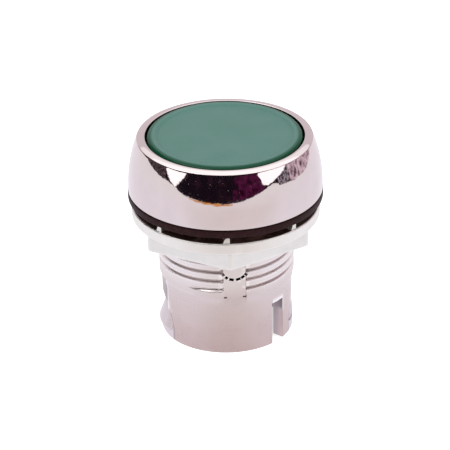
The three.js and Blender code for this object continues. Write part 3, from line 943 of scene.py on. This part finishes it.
def hex_nut():
    """A hexagon with rounded corners and edges, and a thread in its bore."""
    edge, thread_depth = 0.14, 0.4
    depth = nut.high - nut.low
    heights = [0, 0.02, 0.05, 0.09, 0.14, 0.5, 1.2, 1.8, 2.3]
    heights += [depth - 0.12, depth - 0.07, depth - 0.03, depth]
    bore = [0.08 + k * (depth - 0.16) / 26 for k in range(27)]
    flat_r = NUT_CORNER_R * math.cos(math.radians(30))

    def section(angle):
        turn = (angle - NUT_ANGLE) % 60 - 30
        hexagon = soft_min(flat_r / math.cos(math.radians(turn)), NUT_CORNER_R - 0.08, 0.2)
        outer = []
        for height in heights:
            near = min(height, depth - height)
            inset = edge - math.sqrt(edge**2 - (edge - near) ** 2) if near < edge else 0
            outer.append((hexagon - inset, nut.low + height))
        inner = [(NUT_BORE_R + thread_depth, nut.high)]
        for height in reversed(bore):
            phase = (nut.low + height) / THREAD_PITCH - angle / 360
            groove = 0.5 - 0.5 * math.cos(2 * math.pi * phase)
            lead = max(0.0, thread_depth - height)
            inner.append((NUT_BORE_R + max(lead, thread_depth * groove**0.7), nut.low + height))
        return outer + inner + [(NUT_BORE_R + thread_depth + 0.05, nut.low)]

    near_corner = [0.5 * k for k in range(-6, 7)]
    along_flat = [3 + 1.8 * k for k in range(1, 30)]
    angles = {round(NUT_ANGLE + 60 * side + step, 3) % 360
              for side in range(6) for step in near_corner + along_flat}
    return turned("hex_nut_fine", section, sorted(angles))


# ---- Button ----

def button_cap():
    """A face a little below the crest of its rim, which curves down to the side."""
    crest = cap.high
    pocket_r, pocket_z = carrier.radius + 0.1, carrier.high + 0.05
    under = rounded([
        (0, pocket_z),
        (pocket_r, pocket_z, 0.1),
        (pocket_r, cap.low),
        (cap.radius, cap.low, 0.08),
        (cap.radius, crest - CAP_RIM_DEPTH),
    ])
    rim, steps = [], 12
    for k in range(1, steps + 1):
        turn = math.radians(90 * k / steps)
        rim.append((cap.radius - CAP_RIM_WIDTH * (1 - math.cos(turn)),
                    crest - CAP_RIM_DEPTH * (1 - math.sin(turn))))
    step = rounded([rim[-1], (CAP_FACE_R + 0.6, crest, 0.25), (CAP_FACE_R + 0.1, CAP_FACE_Z, 0.4),
                    (9.3, CAP_FACE_Z)], 6)[1:-1]
    face = [(r, CAP_FACE_Z) for r in (9.3, 7.5, 5.0, 2.5, 0.8, 0)]
    return lathe("button_cap_fine", under + rim + step + face, FINE)


def cap_carrier():
    """The disc under the cap, its stem, and the hollow spigot that snaps into the plunger."""
    shoulder = plunger.high + 0.1
    under_cap = cap.low - 0.1
    outline = rounded([
        (0, SPIGOT_BORE_TOP_Z),
        (SPIGOT_BORE_R, SPIGOT_BORE_TOP_Z, 0.2),
        (SPIGOT_BORE_R, carrier.low, 0.1),
        (SPIGOT_R, carrier.low, 0.3),
        (SPIGOT_R, shoulder, 0.1),
        (STEM_R, shoulder, 0.15),
        (STEM_R, under_cap, 0.15),
        (carrier.radius, under_cap, 0.15),
        (carrier.radius, carrier.high, 0.1),
        (0, carrier.high),
    ])
    return lathe("cap_carrier_fine", outline)


def plunger_tube():
    """A tube with a collar for the spring and a socket for the carrier's spigot."""
    collar = plunger.high - 1.0
    socket_r, socket_floor = SPIGOT_R + 0.1, carrier.low - 0.2
    outline = rounded([
        (SPIGOT_BORE_R, plunger.low, 0.1),
        (PLUNGER_R, plunger.low, 0.25),
        (PLUNGER_R, collar, 0.15),
        (plunger.radius, collar, 0.15),
        (plunger.radius, plunger.high, 0.15),
        (socket_r, plunger.high, 0.1),
        (socket_r, socket_floor, 0.1),
        (SPIGOT_BORE_R, socket_floor, 0.1),
    ])
    return lathe("plunger_fine", outline)


def contact_pusher():
    """A cup around the plunger's end, with four arms that press the contact blocks."""
    low, high = pusher.low, pusher.high
    bore_r, wall_r, socket_r, floor_z = 1.6, 6.2, PLUNGER_R + 0.1, low + 0.6
    outline = rounded([
        (bore_r, low, 0.1),
        (wall_r, low, 0.2),
        (wall_r, high, 0.1),
        (socket_r, high, 0.1),
        (socket_r, floor_z),
        (bore_r, floor_z, 0.1),
    ])
    made = lathe("contact_pusher_fine", outline)
    arm = rectangle(1.2, low, high - 0.4)
    for angle in (0, 90, 180, 270):
        prism = bevelled(radial_prism("arm", arm, 5.8, pusher.radius, angle), 0.15)
        combine(made, prism, "UNION")
    return made


# ---- Guide, circlip and spring ----

def guide_bush():
    """A bush with six pockets in its rear face."""
    made = flat_ring("guide_bush_fine", bush, PLUNGER_R + 0.15, 0.2)
    pocket = rectangle(1.1, bush.low - 1, bush.high - 1)
    tools = [radial_prism("pocket", pocket, 6.1, 7.3, angle) for angle in range(30, 390, 60)]
    return combine(made, gathered(tools), "DIFFERENCE")


def bush_circlip():
    """A split ring with an ear and an eye on each side of its gap."""
    made = flat_ring("bush_circlip_fine", clip, CLIP_BORE_R, 0.08)
    for x in (-2, 2):
        ear = upright("ear", arc((x, 7.1), 0.9, 0, 348, 30), clip.low, clip.high - clip.low)
        combine(made, bevelled(ear, 0.06), "UNION")
    for x in (-2, 2):
        eye = upright("eye", arc((x, 7.0), 0.4, 0, 345, 24), clip.low - 1, 3)
        combine(made, eye, "DIFFERENCE")
    gap = upright("gap", rectangle(1.1, 6, 9), clip.low - 1, 3)
    return combine(made, gap, "DIFFERENCE")


def return_spring():
    """A wire coil with closed ends."""
    turns, steps, sides, closed = 6, 40, 14, 0.7      # closed turns at each end
    low, high = spring.low + WIRE_R, spring.high - WIRE_R
    coil_r = spring.radius - WIRE_R
    dead = 2 * WIRE_R * closed
    slope = (high - low - 2 * dead) / (turns - 2 * closed)
    vertices, faces = [], []
    for i in range(turns * steps + 1):
        turn = i / steps
        ends = min(turn, closed) + max(0.0, turn - turns + closed)
        z = low + ends * 2 * WIRE_R + max(0.0, min(turn, turns - closed) - closed) * slope
        phase = 2 * math.pi * turn
        for j in range(sides):
            a = 2 * math.pi * j / sides
            r = coil_r + WIRE_R * math.cos(a)
            vertices.append((r * math.sin(phase), -r * math.cos(phase), z + WIRE_R * math.sin(a)))
    for row in range(0, turns * steps * sides, sides):
        for j in range(sides):
            k = (j + 1) % sides
            faces.append((row + j, row + sides + j, row + sides + k, row + k))
    last = turns * steps * sides
    faces += [tuple(range(sides)), tuple(range(last + sides - 1, last - 1, -1))]
    return add_mesh("return_spring_fine", vertices, faces)


# ---- Pieces, each in place of the CAD node that its function is named after ----

PIECES = [
    (bezel_ring, "housing", "bezel_chrome", CHROME),
    (body_sleeve, "housing", "die_cast_zinc", DIE_CAST),
    (bezel_o_ring, "housing", "seal_rubber", SEAL),
    (panel_gasket, "housing", "gasket_rubber", GASKET),
    (stem_seal, "housing", "seal_rubber", SEAL),
    (guide_bush, "housing", "natural_nylon", NYLON),
    (bush_circlip, "housing", "spring_steel", STEEL),
    (return_spring, "housing", "spring_steel", STEEL),
    (button_cap, "button", "green_cap", GREEN),
    (cap_carrier, "button", "dark_nylon", DARK_NYLON),
    (contact_pusher, "button", "dark_nylon", DARK_NYLON),
    (toothed_washer, "clamp_washer", "nut_zinc", WASHER_ZINC),
    (hex_nut, "clamp_nut", "nut_zinc", ZINC),
]
made = {}
for make, body, slot, material in PIECES:
    made[make.__name__] = finished(make(), body, slot, material, make.__name__)
finished(plunger_tube(), "button", "natural_nylon", NYLON, "plunger")
for node, span, bore in (("seal_retainer", retainer, RETAINER_BORE_R),
                         ("spring_seat", seat, SEAT_BORE_R)):
    finished(flat_ring(node + "_fine", span, bore), "housing", "spring_steel", STEEL, node)

cap_mesh = made["button_cap"].data
cap_mesh.materials.append(GREEN_RIM)
for facet in cap_mesh.polygons:
    if facet.center.xy.length > CAP_RIM_R * MM:
        facet.material_index = 1

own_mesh(made["return_spring"])


# ---- Studio ----

CAMERA_AZIMUTH = -6.8
CAMERA_ELEVATION = 27.7
CAMERA_DISTANCE = 0.4
CAMERA_ROLL = 0.856
CAMERA_LENS = 209.86
LOOK_AT = (-0.161 * MM, 16.666 * MM)      # to the camera's right of the axis, and height


def glow(name, colour, strength=1.0, spots=None):
    """An emission material for a card. spots are the scale, colour and range of its mottling."""
    material = bpy.data.materials.new(name)
    tree = cleared(material)
    light = add_node(tree, "Emission", {"Color": rgba(*colour), "Strength": strength})
    if spots:
        scale, other, low, high = spots
        place = add_node(tree, "TexCoord").outputs["Object"]
        noise = add_node(tree, "TexNoise", {"Vector": place, "Scale": scale, "Detail": 4.0})
        share = ranged(tree, noise.outputs["Fac"], 0, 1, low, high)
        mix = mixed(tree, share, rgba(*colour), rgba(*other))
        tree.links.new(mix, light.inputs["Color"])
    end_tree(tree, "OutputMaterial", light.outputs[0])
    return material


def card(name, edges, distance, material):
    """A curved card that only reflections see.

    edges are (azimuth from the camera's, lowest elevation, highest elevation), in degrees as seen
    from the bezel.
    """
    eye = (SIDE_Z + 3) * MM
    vertices = []
    for (a, low_a, high_a), (b, low_b, high_b) in zip(edges, edges[1:]):
        steps = max(1, int(abs(b - a) / 4))
        for k in range(steps + (b == edges[-1][0])):
            t = k / steps
            angle = math.radians(CAMERA_AZIMUTH + a + (b - a) * t)
            for elevation in (low_a + (low_b - low_a) * t, high_a + (high_b - high_a) * t):
                z = eye + distance * math.tan(math.radians(elevation))
                vertices.append((distance * math.sin(angle), -distance * math.cos(angle), z))
    faces = [(i, i + 2, i + 3, i + 1) for i in range(0, len(vertices) - 2, 2)]
    mesh = bpy.data.meshes.new(name)
    mesh.from_pydata(vertices, [], faces)
    mesh.materials.append(material)
    made_card = add_object(name, mesh)
    for ray in ("camera", "diffuse", "transmission", "volume_scatter", "shadow"):
        setattr(made_card, "visible_" + ray, False)


def direction(azimuth, elevation):
    """The unit vector towards an azimuth and elevation in degrees."""
    a, e = math.radians(azimuth), math.radians(elevation)
    return Vector((math.sin(a) * math.cos(e), -math.cos(a) * math.cos(e), math.sin(e)))


def softbox(name, azimuth, elevation, power):
    """A square area light that faces the object."""
    light = bpy.data.lights.new(name, "AREA")
    light.shape = "SQUARE"
    light.size = 0.7
    light.energy = power
    lamp = add_object(name, light)
    away = direction(azimuth, elevation)
    lamp.location = away * 0.9 + Vector((0, 0, 0.016))
    lamp.rotation_euler = away.to_track_quat("Z", "Y").to_euler()
    lamp.visible_camera = False


def white_room():
    """An even white world, brighter above, and a little dimmer and warmer below in front."""
    world = bpy.data.worlds.new("studio")
    bpy.context.scene.world = world
    tree = cleared(world)
    place = add_node(tree, "TexCoord").outputs["Generated"]
    split = add_node(tree, "SeparateXYZ", {0: place}).outputs
    lift = ranged(tree, split["Z"], 1.0, 1.4, 0.3, 0.95)
    ahead = ranged(tree, split["Y"], 0, 1, -0.4, -0.88)
    under = ranged(tree, split["Z"], 0, 1, -0.05, -0.25)
    both = add_node(tree, "Math", {0: ahead, 1: under}, operation="MULTIPLY").outputs[0]
    side = mixed(tree, under, rgba(1, 1, 1), rgba(1.0, 1.0, 1.06))
    tone = mixed(tree, both, side, rgba(0.90, 0.86, 0.85))
    sky = add_node(tree, "Background", {"Color": tone, "Strength": lift})
    end_tree(tree, "OutputWorld", sky.outputs[0])


def paper_floor():
    half = 3.0
    corners = [(x, y, 0) for x, y in rectangle(half, -half, half)]
    mesh = bpy.data.meshes.new("floor")
    mesh.from_pydata(corners, [], [(0, 1, 2, 3)])
    paper = bpy.data.materials.new("paper")
    tree = cleared(paper)
    grain = add_node(tree, "TexNoise", {"Scale": 900.0, "Detail": 2.0}).outputs["Fac"]
    matt = add_node(tree, "BsdfDiffuse", {"Color": ranged(tree, grain, 0.78, 0.82)})
    bright = add_node(tree, "Emission", {"Strength": 0.62})
    both = add_node(tree, "AddShader", {0: matt.outputs[0], 1: bright.outputs[0]})
    end_tree(tree, "OutputMaterial", both.outputs[0])
    mesh.materials.append(paper)
    floor = add_object("floor", mesh)
    floor.visible_glossy = False


def reflections():
    """The cards that the chrome mirrors: dark in front with two windows, and pale behind."""
    dark = glow("dark_flag", (0.010, 0.005, 0.010), 1.0, (9.0, (0.035, 0.012, 0.02), 0.5, 0.75))
    brown = glow("left_flag", (0.028, 0.016, 0.018), 1.0, (70.0, (0.22, 0.17, 0.19), 0.48, 0.68))
    grey = glow("grey_flag", (0.03, 0.02, 0.035), 1.0, (60.0, (0.55, 0.5, 0.56), 0.46, 0.62))
    rosy = glow("rosy_flag", (0.09, 0.035, 0.06), 1.0, (32.0, (0.82, 0.66, 0.74), 0.36, 0.58))
    plum = glow("plum_flag", (0.022, 0.003, 0.012), 1.0, (22.0, (0.10, 0.010, 0.055), 0.38, 0.6))
    plum_edge = glow("edge_flag", (0.012, 0.004, 0.010), 1.0,
                     (30.0, (0.07, 0.008, 0.04), 0.46, 0.62))
    window = glow("window", (1.0, 0.99, 1.0), 1.6)
    amber = glow("amber_flag", (0.75, 0.33, 0.08))
    haze = glow("haze", (0.80, 0.74, 0.78))
    sky_panel = glow("sky_panel", (1.0, 1.0, 1.0), 1.5)
    card("flag_left", [(-138, -5, 40), (-121, -2.5, 40), (-107, -1, 40), (-95, -0.5, 40),
                       (-85, -0.5, 40), (-75, 0, 40)], 0.60, brown)
    card("flag_front", [(-75, 0, 40), (-66, 0, 40), (-58, -1.5, 40), (-50, -4.2, 40),
                        (-42, -5, 40), (-34, -6, 40), (-19, -7.3, 40), (-4, -7.4, 40),
                        (11, -6.7, 40), (19, -6.3, 40), (26, -4.5, 40), (34, -3.3, 40),
                        (42, -1.2, 40), (50, 0.5, 40), (58, 1, 40), (66, -1, 40)], 0.60, dark)
    card("flag_grey", [(64, -2, 40), (76, -4, 40), (88, -6, 40)], 0.59, grey)
    card("flag_rosy", [(80, -4, 40), (90, -6, 40), (107, -8, 40), (125, -7, 40),
                       (140, -1, 40)], 0.585, rosy)
    card("flag_plum", [(15, -5, 16), (27, -4.2, 16), (34, -3, 16), (42, -1.2, 15),
                       (48, 2, 8)], 0.58, plum)
    card("window_left", [(-76, 7, 10.5), (-66, 1, 11.5), (-60, -1, 12), (-53, 6, 13),
                         (-48, 12, 13.6)], 0.56, window)
    card("window_right", [(40, 12, 15.5), (44, 4, 15.5), (50, 2, 15.5), (60, 3.5, 14),
                          (72, 5.5, 12), (78, 7, 10)], 0.56, window)
    card("amber_edge", [(-42, -6.2, -5.4), (-34, -7.5, -6.4), (-10, -9.2, -7.5),
                        (8, -8.6, -7.5)], 0.56, amber)
    card("flag_edge", [(8, -6, 16), (16, -5.2, 16)], 0.582, plum_edge)
    card("haze_back", [(122, 1, 30), (238, 1, 30)], 0.62, haze)
    card("back_sky", [(120, 40, 86), (240, 40, 86)], 0.62, sky_panel)


def camera():
    azimuth, roll = math.radians(CAMERA_AZIMUTH), math.radians(CAMERA_ROLL)
    back = direction(CAMERA_AZIMUTH, CAMERA_ELEVATION)
    right = Vector((math.cos(azimuth), math.sin(azimuth), 0))
    up = back.cross(right)
    across = right * math.cos(roll) - up * math.sin(roll)
    upward = right * math.sin(roll) + up * math.cos(roll)
    place = Vector((0, 0, LOOK_AT[1])) + right * LOOK_AT[0] + back * CAMERA_DISTANCE
    lens = bpy.data.cameras.new("camera")
    lens.lens = CAMERA_LENS
    lens.sensor_width = 36
    lens.clip_start = 0.01
    lens.clip_end = 20
    made_camera = add_object("camera", lens)
    turn = Matrix((across, upward, back)).transposed()
    made_camera.matrix_world = Matrix.Translation(place) @ turn.to_4x4()
    bpy.context.scene.camera = made_camera


white_room()
paper_floor()
reflections()
softbox("key_left", -75, 45, 2.5)
softbox("fill_right", 60, 35, 2.0)
camera()
settings = bpy.context.scene.view_settings
settings.view_transform = "Standard"
settings.look = "None"
